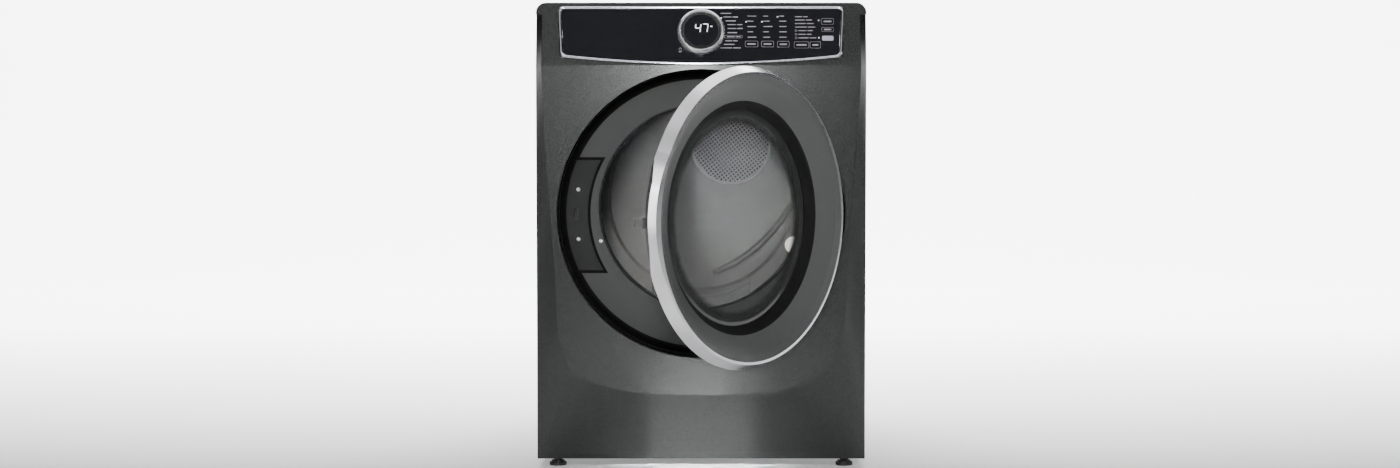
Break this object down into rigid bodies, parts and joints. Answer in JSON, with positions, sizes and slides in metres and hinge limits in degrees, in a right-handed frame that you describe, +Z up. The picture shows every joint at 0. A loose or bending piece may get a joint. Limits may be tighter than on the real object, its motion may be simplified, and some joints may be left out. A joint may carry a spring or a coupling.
{
  "type": "clothes dryer",
  "caption": "Front-loading clothes dryer with a round window door, tilted console with dial and keys, turning drum, lint filter, belt drive, rear exhaust and levelling feet.",
  "frame": {"origin": "on the floor, under the middle of the cabinet's front plane", "axes": "+X to the user's right facing the door, +Y into the depth, +Z up"},
  "size_m": [0.686, 1.249, 0.97],
  "materials": {
    "titanium_paint": "metallic satin",
    "galvanised_steel": "spangled",
    "chrome": "polished",
    "gloss_black": "gloss",
    "dark_grey_plastic": "satin",
    "black_plastic": "matte",
    "window_glass": "clear",
    "lamp_glass": "frosted",
    "drum_steel": "satin",
    "grey_plastic": "satin",
    "felt": "felt",
    "seal_rubber": "matte",
    "roller_nylon": "matte",
    "motor_enamel": "painted",
    "bright_steel": "ground",
    "board": "lacquered"
  },
  "bodies": {
    "cabinet": {"base_pan": "galvanised_steel", "blower_housing": "black_plastic", "console_fascia": "gloss_black", "console_frame": "chrome", "console_tray": "black_plastic", "control_board": "board", "display_lens": "gloss_black", "door_well": "dark_grey_plastic", "drum_belt": "seal_rubber", "exhaust_pipe": "galvanised_steel", "filter_duct": "black_plastic", "front_felt": "felt", "front_panel": "titanium_paint", "heater_box": "galvanised_steel", "heating_coil": "bright_steel", "hinge_bracket": "galvanised_steel", "idler_spring": "bright_steel", "inlet_grille": "galvanised_steel", "lamp_lens": "lamp_glass", "latch_catch": "galvanised_steel", "latch_plate": "dark_grey_plastic", "motor": "motor_enamel", "rear_bulkhead": "drum_steel", "rear_felt": "felt", "rear_panel": "galvanised_steel", "side_panel_left": "titanium_paint", "side_panel_right": "titanium_paint", "terminal_cover": "black_plastic", "top_panel": "titanium_paint", "trim_screws": "bright_steel"},
    "door": {"door_ring": "chrome", "door_dish": "dark_grey_plastic", "door_glass": "window_glass", "door_inner_frame": "dark_grey_plastic", "door_seal": "seal_rubber", "latch_strike": "dark_grey_plastic", "hinge_leaf": "galvanised_steel"},
    "drum": {"drum_shell": "drum_steel", "drum_lifters": "grey_plastic"},
    "rotor": {"motor_rotor": "bright_steel", "blower_wheel": "grey_plastic"},
    "roller_left": {"roller_left": "roller_nylon"},
    "roller_right": {"roller_right": "roller_nylon"},
    "idler_arm": {"idler_arm": "galvanised_steel"},
    "idler_pulley": {"idler_pulley": "roller_nylon"},
    "dial": {"dial_ring": "chrome"},
    "lint_filter": {"lint_filter": "black_plastic"},
    "key_power": {"key_power": "gloss_black"},
    "key_setting_a": {"key_setting_a": "gloss_black"},
    "key_setting_b": {"key_setting_b": "gloss_black"},
    "key_setting_c": {"key_setting_c": "gloss_black"},
    "key_options": {"key_options": "gloss_black"},
    "key_hold": {"key_hold": "gloss_black"},
    "key_start": {"key_start": "gloss_black"},
    "key_cancel": {"key_cancel": "gloss_black"},
    "key_steam": {"key_steam": "gloss_black"},
    "foot_front_left": {"foot_front_left": "black_plastic"},
    "foot_rear_left": {"foot_rear_left": "black_plastic"},
    "foot_front_right": {"foot_front_right": "black_plastic"},
    "foot_rear_right": {"foot_rear_right": "black_plastic"}
  },
  "joints": [
    {"name": "door_hinge", "type": "hinge", "parent": "cabinet", "child": "door", "pos_m": [0.276, -0.01, 0.532], "axis": [0, 0, 1], "range_deg": [-49.5, 70.5]},
    {"name": "drum_spin", "type": "hinge", "parent": "cabinet", "child": "drum", "pos_m": [0, 0.4, 0.545], "axis": [0, 1, 0], "continuous": true},
    {"name": "rotor_spin", "type": "hinge", "parent": "cabinet", "child": "rotor", "pos_m": [0.17, 0.3, 0.118], "axis": [0, 1, 0], "continuous": true},
    {"name": "roller_left_spin", "type": "hinge", "parent": "cabinet", "child": "roller_left", "pos_m": [-0.20379, 0.666, 0.25395], "axis": [0, 1, 0], "continuous": true},
    {"name": "roller_right_spin", "type": "hinge", "parent": "cabinet", "child": "roller_right", "pos_m": [0.20379, 0.666, 0.25395], "axis": [0, 1, 0], "continuous": true},
    {"name": "idler_swing", "type": "hinge", "parent": "cabinet", "child": "idler_arm", "pos_m": [0.128, 0.38, 0.052], "axis": [0, 1, 0], "range_deg": [-5, 5], "stiffness_Nm_per_rad": 20, "deforming": ["idler_spring", "drum_belt"]},
    {"name": "idler_pulley_spin", "type": "hinge", "parent": "idler_arm", "child": "idler_pulley", "pos_m": [0.084, 0.4, 0.128], "axis": [0, 1, 0], "continuous": true},
    {"name": "dial_turn", "type": "hinge", "parent": "cabinet", "child": "dial", "pos_m": [0, 0.0248, 0.90613], "axis": [0, -0.9397, 0.342], "continuous": true},
    {"name": "filter_lift", "type": "slide", "parent": "cabinet", "child": "lint_filter", "axis": [0, 0, 1], "range_m": [0, 0.2]},
    {"name": "key_power_press", "type": "slide", "parent": "cabinet", "child": "key_power", "axis": [0, 0.9397, -0.342], "range_m": [0, 0.0008], "stiffness_N_per_m": 700},
    {"name": "key_setting_a_press", "type": "slide", "parent": "cabinet", "child": "key_setting_a", "axis": [0, 0.9397, -0.342], "range_m": [0, 0.0008], "stiffness_N_per_m": 700},
    {"name": "key_setting_b_press", "type": "slide", "parent": "cabinet", "child": "key_setting_b", "axis": [0, 0.9397, -0.342], "range_m": [0, 0.0008], "stiffness_N_per_m": 700},
    {"name": "key_setting_c_press", "type": "slide", "parent": "cabinet", "child": "key_setting_c", "axis": [0, 0.9397, -0.342], "range_m": [0, 0.0008], "stiffness_N_per_m": 700},
    {"name": "key_options_press", "type": "slide", "parent": "cabinet", "child": "key_options", "axis": [0, 0.9397, -0.342], "range_m": [0, 0.0008], "stiffness_N_per_m": 700},
    {"name": "key_hold_press", "type": "slide", "parent": "cabinet", "child": "key_hold", "axis": [0, 0.9397, -0.342], "range_m": [0, 0.0008], "stiffness_N_per_m": 700},
    {"name": "key_start_press", "type": "slide", "parent": "cabinet", "child": "key_start", "axis": [0, 0.9397, -0.342], "range_m": [0, 0.0008], "stiffness_N_per_m": 700},
    {"name": "key_cancel_press", "type": "slide", "parent": "cabinet", "child": "key_cancel", "axis": [0, 0.9397, -0.342], "range_m": [0, 0.0008], "stiffness_N_per_m": 700},
    {"name": "key_steam_press", "type": "slide", "parent": "cabinet", "child": "key_steam", "axis": [0, 0.9397, -0.342], "range_m": [0, 0.0008], "stiffness_N_per_m": 700},
    {"name": "foot_front_left_level", "type": "slide", "parent": "cabinet", "child": "foot_front_left", "axis": [0, 0, -1], "range_m": [0, 0.02]},
    {"name": "foot_rear_left_level", "type": "slide", "parent": "cabinet", "child": "foot_rear_left", "axis": [0, 0, -1], "range_m": [0, 0.02]},
    {"name": "foot_front_right_level", "type": "slide", "parent": "cabinet", "child": "foot_front_right", "axis": [0, 0, -1], "range_m": [0, 0.02]},
    {"name": "foot_rear_right_level", "type": "slide", "parent": "cabinet", "child": "foot_rear_right", "axis": [0, 0, -1], "range_m": [0, 0.02]}
  ],
  "couplings": [
    {"joint": "rotor_spin", "follows": "drum_spin", "ratio": 24.185},
    {"joint": "roller_left_spin", "follows": "drum_spin", "ratio": -10.833},
    {"joint": "roller_right_spin", "follows": "drum_spin", "ratio": -10.833},
    {"joint": "idler_pulley_spin", "follows": "drum_spin", "ratio": -11.873}
  ]
}
